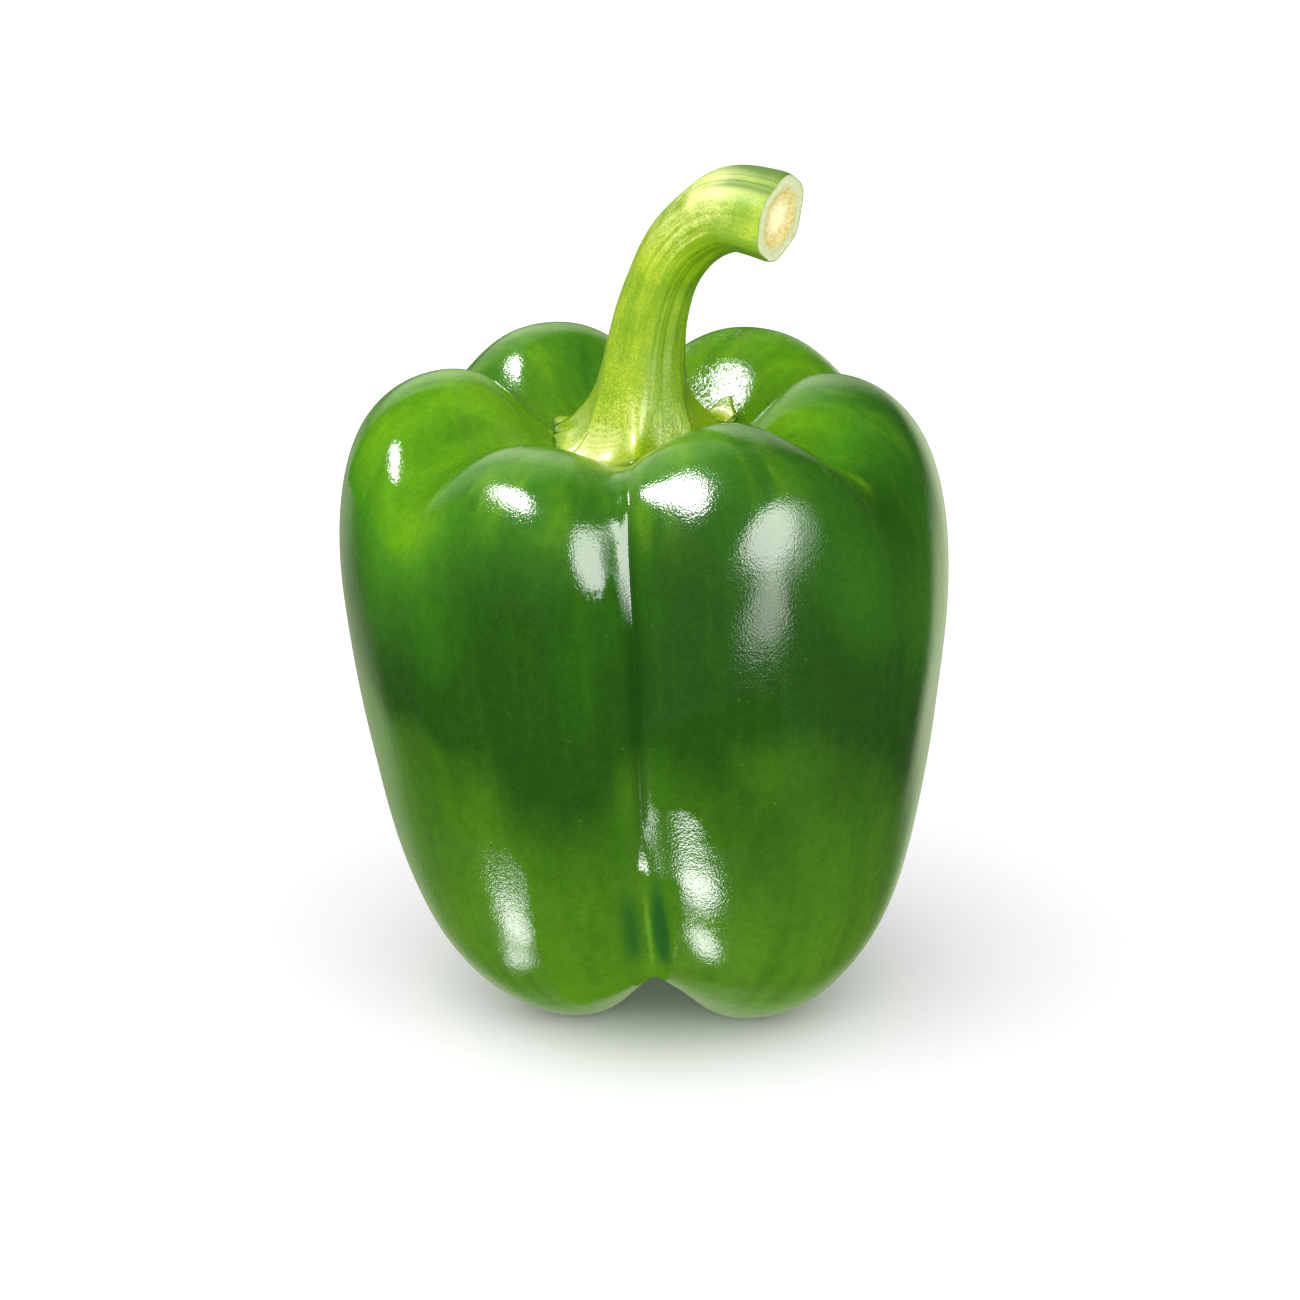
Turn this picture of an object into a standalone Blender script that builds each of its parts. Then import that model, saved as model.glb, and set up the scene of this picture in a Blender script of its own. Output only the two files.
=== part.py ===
"""A green bell pepper standing on its blossom end: the three-lobed fruit, and the
curved stem with its toothed calyx lying in the hollow between the fruit's shoulders.

Lengths are in metres, angles in degrees. The viewer's side of the pepper is -Y, and
azimuths are counted from there towards +X.
"""

import math

import bmesh
import bpy
from mathutils import Vector
from mathutils.bvhtree import BVHTree

# Half sections of the fruit from the middle of the top hollow, over the shoulder and
# down the side to the middle of the blossom end: (distance from the axis, height).
# Each is the cage of a B-spline, so the skin runs a little inside its corners.
LOBE_SECTION = (
    (0.0000, 0.0840), (0.0080, 0.0810), (0.0175, 0.0910), (0.0235, 0.0970),
    (0.0350, 0.0955), (0.0415, 0.0880), (0.0450, 0.0720), (0.0425, 0.0510),
    (0.0395, 0.0315), (0.0340, 0.0120), (0.0256, 0.0025), (0.0125, -0.0045),
    (0.0060, 0.0030), (0.0000, 0.0080),
)
GROOVE_SECTION = (
    (0.0000, 0.0840), (0.0080, 0.0840), (0.0145, 0.0835), (0.0215, 0.0875),
    (0.0305, 0.0870), (0.0380, 0.0800), (0.0415, 0.0665), (0.0405, 0.0500),
    (0.0370, 0.0325), (0.0310, 0.0170), (0.0225, 0.0095), (0.0125, 0.0065),
    (0.0060, 0.0070), (0.0000, 0.0080),
)
FOLD_SECTION = (
    (0.0000, 0.0840), (0.0090, 0.0795), (0.0175, 0.0875), (0.0250, 0.0905),
    (0.0350, 0.0870), (0.0410, 0.0835), (0.0445, 0.0700), (0.0430, 0.0505),
    (0.0385, 0.0310), (0.0340, 0.0120), (0.0256, 0.0025), (0.0125, -0.0045),
    (0.0060, 0.0030), (0.0000, 0.0080),
)
FRUIT_HEIGHT = 0.095
GROOVE_AZIMUTHS = (-118.0, -2.5, 112.0)  # the grooves between the lobes
LOBES = len(GROOVE_AZIMUTHS)
GROOVE_SOFTNESS = 0.05  # rounding of the crease, as a share of a lobe's width
FOLD_SOFTNESS = 0.12

# How narrow the groove and the fold are at shares of the way down a section.
WAY_DOWN = (0.0, 0.12, 0.24, 0.34, 0.46, 0.60, 0.74, 0.85, 0.93, 1.0)
GROOVE_SHARPNESS = (1.0, 1.2, 3.5, 3.0, 4.0, 2.6, 1.0, 1.1, 1.2, 1.0)
FOLD_SHARPNESS = (1.5, 2.5, 3.0, 3.5, 3.3, 2.0, 2.0, 2.0, 2.0, 2.0)

# The six swellings of the shoulder: azimuth, rise of the crest, bulge of the side.
SWELLINGS = (
    (-151.0, -0.0004, -0.0035),
    (-90.0, -0.0011, 0.0000),
    (-30.0, -0.0059, -0.0010),
    (32.0, -0.0002, 0.0027),
    (90.0, -0.0005, -0.0006),
    (151.0, -0.0024, -0.0004),
)
SWELLING_RADIUS = 0.044
RISE_SHARE = (0.0, 0.3, 0.8, 1.0, 0.6, 0.1, 0.0, 0.0, 0.0, 0.0)
BULGE_SHARE = (0.0, 0.0, 0.5, 1.0, 1.0, 1.0, 0.6, 0.3, 0.1, 0.0)

# The front groove wanders sideways, and the blossom end sits off the stem's line.
GROOVE_WANDER = 1.5
WANDER_SHARE = (0.0, 0.0, 0.0, 0.0, 0.0, 0.0, 0.7, 1.0, 0.7, 0.0)
BLOSSOM_END_OFFSET = (0.0029, 0.0004)

FOOT_SHARE = (0.0, 0.0, 0.0, 0.0, 0.0, 0.0, 0.3, 1.0, 1.0, 0.5)
FOOT_SINK = 0.0004  # each foot is pressed this flat where the pepper stands
FRUIT_MERIDIANS = 84
FRUIT_RINGS = 40

# The stem's centre line in its bend plane, as a B-spline cage: (reach, height).
STEM_AZIMUTH = 59.0
STEM_LINE = (
    (0.0000, 0.0800), (0.0005, 0.0915), (0.0020, 0.1035), (0.0055, 0.1135),
    (0.0100, 0.1185), (0.0160, 0.1225), (0.0235, 0.1215),
)
STEM_FOOT = (-0.0007, 0.0000)
# Its outline above the calyx: (share of the centre line, radius).
STEM_OUTLINE = (
    (0.200, 0.0064), (0.270, 0.0057), (0.340, 0.0052), (0.420, 0.0049), (0.500, 0.0049),
    (0.580, 0.0049), (0.660, 0.0051), (0.740, 0.0055), (0.840, 0.0061), (0.960, 0.0064),
    (1.000, 0.0062),
)
STEM_RINGS = 23
STEM_SIDES = 36
RIDGES = 6
RIDGE_HEIGHT = 0.035  # of the stem's radius

# The calyx: underside rings at shares of its reach, then the trumpet of its upper side.
CALYX_REACHES = (0.0, 0.25, 0.5, 0.75, 0.9, 1.0)
CALYX_RADIUS = 0.0108
TOOTH_LENGTH = 0.0045
TOOTH_SHARPNESS = 2.2
FIRST_TOOTH = -2.5
CALYX_THICKNESS = 0.0009
TRUMPET_RADII = (0.0064, 0.0073, 0.0093, 0.0115, 0.0140, 0.0180)
TRUMPET_HEIGHTS = (0.0940, 0.0912, 0.0880, 0.0866, 0.0858, 0.0855)
TRUMPET_RINGS = 9
TRUMPET_BLEND = 0.0010
CALYX_GAP = 0.0005  # keeps the calyx's flat facets clear of the skin
CALYX_HOLLOW = 0.0012  # and its hidden middle a little more

SKIN_COLOUR = (0.060, 0.200, 0.014, 1.0)
SKIN_ROUGHNESS = 0.2
STEM_COLOUR = (0.270, 0.430, 0.030, 1.0)
STEM_ROUGHNESS = 0.45
SHARP_ANGLE = 50.0


def new_material(name, colour, roughness):
    material = bpy.data.materials.new(name)
    material.use_nodes = True
    shader = material.node_tree.nodes["Principled BSDF"]
    shader.inputs["Base Color"].default_value = colour
    shader.inputs["Roughness"].default_value = roughness
    shader.inputs["Metallic"].default_value = 0.0
    return material


def mix(a, b, share):
    return a + (b - a) * share


def eased(x, xs, ys):
    """Smooth interpolation of ys over the rising values xs."""
    for i in range(len(xs) - 1):
        if x <= xs[i + 1]:
            share = (x - xs[i]) / (xs[i + 1] - xs[i])
            return mix(ys[i], ys[i + 1], share * share * (3 - 2 * share))
    return ys[-1]


def eased_round(azimuth, centres, values):
    """The same round the axis: centres are rising azimuths within one turn."""
    turned = (azimuth - centres[0]) % 360 + centres[0]
    return eased(turned, (*centres, centres[0] + 360), (*values, values[0]))


def spline_point(cage, share):
    """A point of the uniform cubic B-spline through a cage, which carries on past both ends."""
    x = min(max(share, 0.0), 1.0) * (len(cage) - 3)
    i = min(int(x), len(cage) - 4)
    f = x - i
    weights = (
        (1 - f) ** 3 / 6,
        (3 * f**3 - 6 * f**2 + 4) / 6,
        (-3 * f**3 + 3 * f**2 + 3 * f + 1) / 6,
        f**3 / 6,
    )
    return tuple(sum(w * p[k] for w, p in zip(weights, cage[i : i + 4])) for k in (0, 1))


def across_axis(section):
    """A section's cage, carried on over the axis at both ends so that it meets it squarely."""
    return ((-section[1][0], section[1][1]), *section, (-section[-2][0], section[-2][1]))


def past_ends(line):
    """A line's cage, carried on straight at both ends so that it starts and stops there."""
    before = tuple(2 * a - b for a, b in zip(line[0], line[1]))
    after = tuple(2 * a - b for a, b in zip(line[-1], line[-2]))
    return (before, *line, after)


def nearness(wave, softness):
    """1 where a wave crosses zero, rounded off there, and 0 where it is 1 or -1."""
    top = math.hypot(1, softness) - softness
    return max(0.0, 1 - (math.hypot(wave, softness) - softness) / top)


def azimuth_at(turn):
    """The azimuth at a turn, which counts lobes, so that each whole turn is a groove."""
    lobe = int(turn)
    start = GROOVE_AZIMUTHS[lobe]
    end = GROOVE_AZIMUTHS[(lobe + 1) % LOBES]
    return start + (end - start) % 360 * (turn - lobe)


def skin_point(turn, down):
    """The point of the fruit's skin at a turn, and at a share of the way down a section."""
    across_lobe = math.pi * (turn - int(turn))
    groove = nearness(math.sin(across_lobe), GROOVE_SOFTNESS)
    groove **= eased(down, WAY_DOWN, GROOVE_SHARPNESS)
    fold = nearness(math.cos(across_lobe), FOLD_SOFTNESS)
    fold **= eased(down, WAY_DOWN, FOLD_SHARPNESS)
    lobe = 1 - groove - fold
    sections = (LOBE_SECTION, GROOVE_SECTION, FOLD_SECTION)
    points = [spline_point(across_axis(section), down) for section in sections]
    radius = lobe * points[0][0] + groove * points[1][0] + fold * points[2][0]
    height = lobe * points[0][1] + groove * points[1][1] + fold * points[2][1]

    azimuth = azimuth_at(turn)
    centres, rises, bulges = zip(*SWELLINGS)
    height += eased(down, WAY_DOWN, RISE_SHARE) * eased_round(azimuth, centres, rises)
    bulge = eased(down, WAY_DOWN, BULGE_SHARE) * eased_round(azimuth, centres, bulges)
    radius *= 1 + bulge / SWELLING_RADIUS

    front = max(0.0, math.cos(math.radians(azimuth)))
    wander = GROOVE_WANDER * front * eased(down, WAY_DOWN, WANDER_SHARE)
    angle = math.radians(azimuth + wander)
    below_top = 1 - height / FRUIT_HEIGHT
    return Vector((
        radius * math.sin(angle) + BLOSSOM_END_OFFSET[0] * below_top,
        -radius * math.cos(angle) + BLOSSOM_END_OFFSET[1] * below_top,
        height,
    ))


def make_fruit_mesh():
    """The fruit as a ball whose meridians are laid along the grooves and between them."""
    mesh = bmesh.new()
    bmesh.ops.create_uvsphere(
        mesh, u_segments=FRUIT_MERIDIANS, v_segments=FRUIT_RINGS, radius=1
    )
    places = {}
    for vertex in mesh.verts:
        meridian = round(math.atan2(vertex.co.y, vertex.co.x) / math.tau * FRUIT_MERIDIANS)
        turn = meridian % FRUIT_MERIDIANS * LOBES / FRUIT_MERIDIANS
        places[vertex] = (turn, way_down(vertex.co.z))
    for vertex, (turn, down) in places.items():
        vertex.co = skin_point(turn, down)
    level_feet(mesh, places)
    bmesh.ops.recalc_face_normals(mesh, faces=mesh.faces)
    return mesh


def way_down(height):
    """The share of the way from a unit ball's top to its bottom, along a meridian."""
    return math.acos(max(-1.0, min(1.0, height))) / math.pi


def level_feet(mesh, places):
    """Brings each lobe's foot down to the ground, and presses a small flat on it."""
    lows = [
        min(vertex.co.z for vertex, (turn, _) in places.items() if int(turn) == lobe)
        for lobe in range(LOBES)
    ]
    middles = [lobe + 0.5 for lobe in range(LOBES)]
    for vertex, (turn, down) in places.items():
        turned = (turn - middles[0]) % LOBES + middles[0]
        low = eased(turned, (*middles, middles[0] + LOBES), (*lows, lows[0]))
        vertex.co.z -= (low + FOOT_SINK) * eased(down, WAY_DOWN, FOOT_SHARE)
        vertex.co.z = max(vertex.co.z, 0.0)


def stem_frame(share):
    """Centre, in-plane normal and direction of the stem at a share of its centre line."""
    cage = past_ends(STEM_LINE)
    here = spline_point(cage, share)
    step = 0.001
    after = spline_point(cage, min(share + step, 1.0))
    before = spline_point(cage, max(share - step, 0.0))
    slope = Vector((after[0] - before[0], after[1] - before[1])).normalized()
    angle = math.radians(STEM_AZIMUTH)
    outward = Vector((math.sin(angle), -math.cos(angle), 0))
    upward = Vector((0, 0, 1))
    centre = Vector((*STEM_FOOT, 0)) + outward * here[0] + upward * here[1]
    return centre, outward * slope[1] - upward * slope[0], outward * slope[0] + upward * slope[1]


def ring_angles():
    """The angles of a stem ring's points, counted from the bend plane."""
    return [math.tau * i / STEM_SIDES for i in range(STEM_SIDES)]


def stem_ring(share, radius):
    """The points of one ring of the stem, with its ridges, square to the centre line."""
    centre, outward, along = stem_frame(share)
    sideways = along.cross(outward)
    return [
        centre
        + (outward * math.cos(angle) + sideways * math.sin(angle))
        * radius
        * ridged(angle)
        for angle in ring_angles()
    ]


def ridged(angle):
    """The share of the stem's radius at an angle, with its long soft ridges."""
    return 1 + RIDGE_HEIGHT * math.cos(RIDGES * (angle - tooth_phase()))


def tooth_phase():
    """The angle of the first tooth, counted from the bend plane."""
    return math.radians(FIRST_TOOTH - STEM_AZIMUTH)


def calyx_radius(angle, reach):
    """The distance of the calyx's edge, with its teeth, at a share of its reach."""
    tooth = (0.5 + 0.5 * math.cos(RIDGES * (angle - tooth_phase()))) ** TOOTH_SHARPNESS
    return reach * (CALYX_RADIUS + TOOTH_LENGTH * tooth * reach**3)


def on_skin(skin, centre, angle, radius):
    """The place on the fruit's skin below a point of the calyx, and the skin's normal."""
    azimuth = math.radians(STEM_AZIMUTH) + angle
    x = centre[0] + radius * math.sin(azimuth)
    y = centre[1] - radius * math.cos(azimuth)
    return skin.ray_cast(Vector((x, y, FRUIT_HEIGHT * 2)), Vector((0, 0, -1)))[:2]


def underside_ring(reach, skin):
    """One ring of the calyx's underside, lying just clear of the skin."""
    gap = CALYX_GAP + CALYX_HOLLOW * (1 - reach)
    points = []
    for angle in ring_angles():
        place, normal = on_skin(skin, STEM_FOOT, angle, calyx_radius(angle, reach))
        points.append(place + normal * gap)
    return points


def trumpet_ring(inward, skin):
    """One ring of the calyx's upper side, from its edge at 0 to the stem at 1."""
    foot = stem_frame(STEM_OUTLINE[0][0])[0]
    centre = [mix(STEM_FOOT[i], foot[i], inward) for i in (0, 1)]
    points = []
    for angle in ring_angles():
        stem_radius = STEM_OUTLINE[0][1] * ridged(angle)
        radius = mix(calyx_radius(angle, 1.0), stem_radius, inward)
        place, normal = on_skin(skin, centre, angle, radius)
        point = place + normal * (CALYX_GAP + CALYX_THICKNESS)
        trumpet = eased(radius / ridged(angle), TRUMPET_RADII, TRUMPET_HEIGHTS)
        over = trumpet - point.z
        rise = (over + math.hypot(over, TRUMPET_BLEND)) / 2
        point.z += rise * eased(inward, (0, 0.4, 1), (0, 1, 1))
        points.append(point)
    return points


def make_stem_mesh(skin):
    """Stem and calyx as rings, from the calyx's underside over its rim and up to the cut."""
    rings = [underside_ring(reach, skin) for reach in CALYX_REACHES]
    rings += [trumpet_ring(i / TRUMPET_RINGS, skin) for i in range(TRUMPET_RINGS)]
    shares, radii = zip(*STEM_OUTLINE)
    for i in range(STEM_RINGS):
        share = mix(shares[0], 1.0, i / (STEM_RINGS - 1))
        rings.append(stem_ring(share, eased(share, shares, radii)))
    rings.append([stem_frame(1.0)[0]])

    mesh = bmesh.new()
    bmesh.ops.create_uvsphere(
        mesh, u_segments=STEM_SIDES, v_segments=len(rings) - 1, radius=1
    )
    for vertex in mesh.verts:
        side = round(math.atan2(vertex.co.y, vertex.co.x) / math.tau * STEM_SIDES)
        ring = rings[round(way_down(vertex.co.z) * (len(rings) - 1))]
        vertex.co = ring[side % len(ring)]
    bmesh.ops.recalc_face_normals(mesh, faces=mesh.faces)
    return mesh


def bounds_centre(mesh):
    """The middle of the fruit's box, seen from above."""
    xs = [vertex.co.x for vertex in mesh.verts]
    ys = [vertex.co.y for vertex in mesh.verts]
    return Vector(((min(xs) + max(xs)) / 2, (min(ys) + max(ys)) / 2, 0))


def add_object(name, mesh, material, collection):
    data = bpy.data.meshes.new(name)
    mesh.to_mesh(data)
    mesh.free()
    data.materials.append(material)
    data.shade_smooth()
    data.set_sharp_from_angle(angle=math.radians(SHARP_ANGLE))
    thing = bpy.data.objects.new(name, data)
    collection.objects.link(thing)
    return thing


def main():
    for thing in list(bpy.data.objects):
        bpy.data.objects.remove(thing)
    pepper = bpy.data.collections.new("bell pepper")
    bpy.context.scene.collection.children.link(pepper)

    fruit_mesh = make_fruit_mesh()
    stem_mesh = make_stem_mesh(BVHTree.FromBMesh(fruit_mesh))
    middle = bounds_centre(fruit_mesh)
    for mesh in (fruit_mesh, stem_mesh):
        bmesh.ops.translate(mesh, vec=-middle, verts=mesh.verts)
    skin_material = new_material("waxy green skin", SKIN_COLOUR, SKIN_ROUGHNESS)
    add_object("fruit", fruit_mesh, skin_material, pepper)
    stem_material = new_material("yellow-green stem", STEM_COLOUR, STEM_ROUGHNESS)
    add_object("stem_and_calyx", stem_mesh, stem_material, pepper)


main()
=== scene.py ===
import math

import bmesh
import bpy
import numpy as np
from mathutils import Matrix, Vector, noise
from mathutils.bvhtree import BVHTree


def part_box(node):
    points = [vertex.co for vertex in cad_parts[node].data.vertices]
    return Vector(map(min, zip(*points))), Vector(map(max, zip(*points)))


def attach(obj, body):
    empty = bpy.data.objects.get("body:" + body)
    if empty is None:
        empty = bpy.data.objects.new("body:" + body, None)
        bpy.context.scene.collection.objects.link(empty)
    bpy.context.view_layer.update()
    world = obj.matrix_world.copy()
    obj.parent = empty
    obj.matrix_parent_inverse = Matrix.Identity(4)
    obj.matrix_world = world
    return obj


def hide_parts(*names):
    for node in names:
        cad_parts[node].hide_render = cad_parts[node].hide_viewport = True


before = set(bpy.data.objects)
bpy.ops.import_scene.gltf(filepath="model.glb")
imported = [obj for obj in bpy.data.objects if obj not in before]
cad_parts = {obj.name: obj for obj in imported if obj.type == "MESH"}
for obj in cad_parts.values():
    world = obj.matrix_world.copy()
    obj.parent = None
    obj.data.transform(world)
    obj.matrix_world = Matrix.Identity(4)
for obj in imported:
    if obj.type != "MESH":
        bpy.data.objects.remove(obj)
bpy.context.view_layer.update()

fruitLow, fruitHigh = (np.array(corner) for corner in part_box("fruit"))
print("frame loaded: fruit", np.round(fruitHigh - fruitLow, 4))


def mixed(a, b, share):
    return a + (b - a) * share


def eased(x, xs, ys):
    # smooth steps between the values ys at the rising places xs
    xs, ys = np.asarray(xs, float), np.asarray(ys, float)
    i = np.clip(np.searchsorted(xs, x) - 1, 0, len(xs) - 2)
    share = np.clip((x - xs[i]) / (xs[i + 1] - xs[i]), 0, 1)
    return mixed(ys[i], ys[i + 1], share * share * (3 - 2 * share))


def easedRound(azimuth, centres, values):
    # the same round the axis, in degrees
    turned = (azimuth - centres[0]) % 360 + centres[0]
    return eased(turned, (*centres, centres[0] + 360), (*values, values[0]))


def splinePoints(cage, share):
    # points of the cubic B-spline through a cage that carries on past both ends
    cage = np.asarray(cage, float)
    x = np.clip(share, 0, 1) * (len(cage) - 3)
    i = np.minimum(x.astype(int), len(cage) - 4)
    f = (x - i)[..., None]
    return (
        (1 - f) ** 3 / 6 * cage[i]
        + (3 * f**3 - 6 * f**2 + 4) / 6 * cage[i + 1]
        + (-3 * f**3 + 3 * f**2 + 3 * f + 1) / 6 * cage[i + 2]
        + f**3 / 6 * cage[i + 3]
    )


def curved(x, xs, ys):
    # a smooth curve that follows the knots and has no flat steps at them
    fine = splinePoints(pastEnds(np.stack([xs, ys], axis=1)), np.linspace(0, 1, 200))
    return np.interp(x, fine[:, 0], fine[:, 1])


def curvedRound(azimuth, knots, values):
    # the same round the axis, in degrees, with knots that rise from -180 to 180
    xs = (*(k - 360 for k in knots[-2:]), *knots, *(k + 360 for k in knots[:2]))
    return curved((azimuth + 180) % 360 - 180, xs, (*values[-2:], *values, *values[:2]))


def bezier(share, values):
    # a smooth share that leaves and arrives as its four values tell
    first, second, third, last = values
    back = 1 - share
    start = first * back**3 + 3 * second * back**2 * share
    return start + 3 * third * back * share**2 + last * share**3


def acrossAxis(section):
    # a half section carried on over the axis at both ends, which it then meets squarely
    return ((-section[1][0], section[1][1]), *section, (-section[-2][0], section[-2][1]))


def pastEnds(line):
    # a line carried on straight at both ends, so that it starts and stops there
    line = np.asarray(line, float)
    return np.vstack([2 * line[0] - line[1], line, 2 * line[-1] - line[-2]])


def bump(x, middle, width):
    return np.exp(-(((x - middle) / width) ** 2))


def window(x, low, high, soft):
    # 1 between two places and 0 outside, with soft edges
    return eased(x, (low - soft, low + soft, high - soft, high + soft), (0, 1, 1, 0))


def roughness(points, size, seed):
    # smooth noise from -1 to 1 at each point, with lumps of the given size
    offset = Vector((seed * 7.3, seed * 3.1, seed * 5.7))
    return np.array([
        noise.noise(Vector(p) / size + offset, noise_basis="PERLIN_NEW") for p in points
    ])


def ballMesh(name, around, down):
    # a ball whose points are told by their place: a count round, and a share of the way down
    ball = bmesh.new()
    bmesh.ops.create_uvsphere(ball, u_segments=around, v_segments=down, radius=1)
    mesh = bpy.data.meshes.new(name)
    ball.to_mesh(mesh)
    ball.free()
    points = np.empty(len(mesh.vertices) * 3)
    mesh.vertices.foreach_get("co", points)
    points = points.reshape(-1, 3)
    turns = np.arctan2(points[:, 1], points[:, 0]) / math.tau
    side = np.round(turns * around).astype(int) % around
    ring = np.round(np.arccos(np.clip(points[:, 2], -1, 1)) / math.pi * down).astype(int)
    return mesh, side, ring


def placePoints(mesh, points):
    mesh.vertices.foreach_set("co", np.ascontiguousarray(points).ravel())
    tidy = bmesh.new()
    tidy.from_mesh(mesh)
    bmesh.ops.recalc_face_normals(tidy, faces=tidy.faces)
    tidy.to_mesh(mesh)
    tidy.free()
    mesh.shade_smooth()
    mesh.update()


def addValue(mesh, name, values):
    # a number or a vector for each point, which the materials read
    values = np.asarray(values, float)
    kind, key = ("FLOAT", "value") if values.ndim == 1 else ("FLOAT_VECTOR", "vector")
    mesh.attributes.new(name, kind, "POINT").data.foreach_set(key, values.ravel())


def addPiece(name, mesh, material):
    mesh.materials.append(material)
    piece = bpy.data.objects.new(name, mesh)
    bpy.context.scene.collection.objects.link(piece)
    return piece


class Wire:
    # a socket of a material's nodes, or the material itself before any node is made

    def __init__(self, tree, socket=None):
        self.tree = tree
        self.socket = socket

    def make(self, kind, settings=None, inputs=None, output=0):
        # any node: its settings are made first, then the values or links of its sockets
        node = self.tree.nodes.new(kind)
        for key, value in (settings or {}).items():
            if key == "stops":
                self.setStops(node.color_ramp, value)
            else:
                setattr(node, key, value)
        for key, value in (inputs or {}).items():
            socket = self.findSocket(node.inputs, key)
            if isinstance(value, Wire):
                self.tree.links.new(value.socket, socket)
            else:
                socket.default_value = value
        if output is None:
            return Wire(self.tree)
        return Wire(self.tree, self.findSocket(node.outputs, output))

    def findSocket(self, sockets, key):
        if isinstance(key, int):
            return [socket for socket in sockets if socket.enabled][key]
        return next(socket for socket in sockets if socket.name == key and socket.enabled)

    def setStops(self, ramp, stops):
        while len(ramp.elements) < len(stops):
            ramp.elements.new(1.0)
        for element, (place, colour) in zip(ramp.elements, stops):
            element.position = place
            element.color = (*colour, 1.0)

    def maths(self, operation, first, second=0.0):
        return self.make("ShaderNodeMath", {"operation": operation}, {0: first, 1: second})

    def __add__(self, other):
        return self.maths("ADD", self, other)

    def __radd__(self, other):
        return self.maths("ADD", other, self)

    def __sub__(self, other):
        return self.maths("SUBTRACT", self, other)

    def __rsub__(self, other):
        return self.maths("SUBTRACT", other, self)

    def __mul__(self, other):
        return self.maths("MULTIPLY", self, other)

    def __rmul__(self, other):
        return self.maths("MULTIPLY", other, self)

    def within(self, low, high):
        # 0 below low and 1 above high, smoothly; turned round where low is above high
        if low > high:
            return 1 - self.within(high, low)
        return self.make(
            "ShaderNodeMapRange",
            {"interpolation_type": "SMOOTHSTEP"},
            {"Value": self, "From Min": low, "From Max": high},
        )

    def between(self, start, full, last, end):
        # 1 from full to last, easing to 0 at start and at end
        return self.within(start, full) * self.within(end, last)

    def value(self, name):
        return self.make("ShaderNodeAttribute", {"attribute_name": name}, output="Fac")

    def place(self, name):
        return self.make("ShaderNodeAttribute", {"attribute_name": name}, output="Vector")

    def stretched(self, scale):
        return self.make(
            "ShaderNodeVectorMath", {"operation": "MULTIPLY"}, {0: self, 1: scale}
        )

    def noise(self, place, scale, detail=2.0, rough=0.5, warp=0.0):
        return self.make(
            "ShaderNodeTexNoise",
            inputs={
                "Vector": place,
                "Scale": scale,
                "Detail": detail,
                "Roughness": rough,
                "Distortion": warp,
            },
        )

    def blended(self, share, first, second, how="MIX"):
        return self.make(
            "ShaderNodeMix",
            {"data_type": "RGBA", "blend_type": how},
            {"Factor": share, "A": solid(first), "B": solid(second)},
        )


def solid(colour):
    return colour if isinstance(colour, Wire) else (*colour, 1.0)


def newMaterial(name):
    material = bpy.data.materials.new(name)
    material.use_nodes = True
    shader = material.node_tree.nodes["Principled BSDF"]
    return material, Wire(material.node_tree), shader


def finishMaterial(wire, shader, fixed, varying):
    for key, value in fixed.items():
        shader.inputs[key].default_value = value
    for key, value in varying.items():
        wire.tree.links.new(value.socket, shader.inputs[key])


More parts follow.
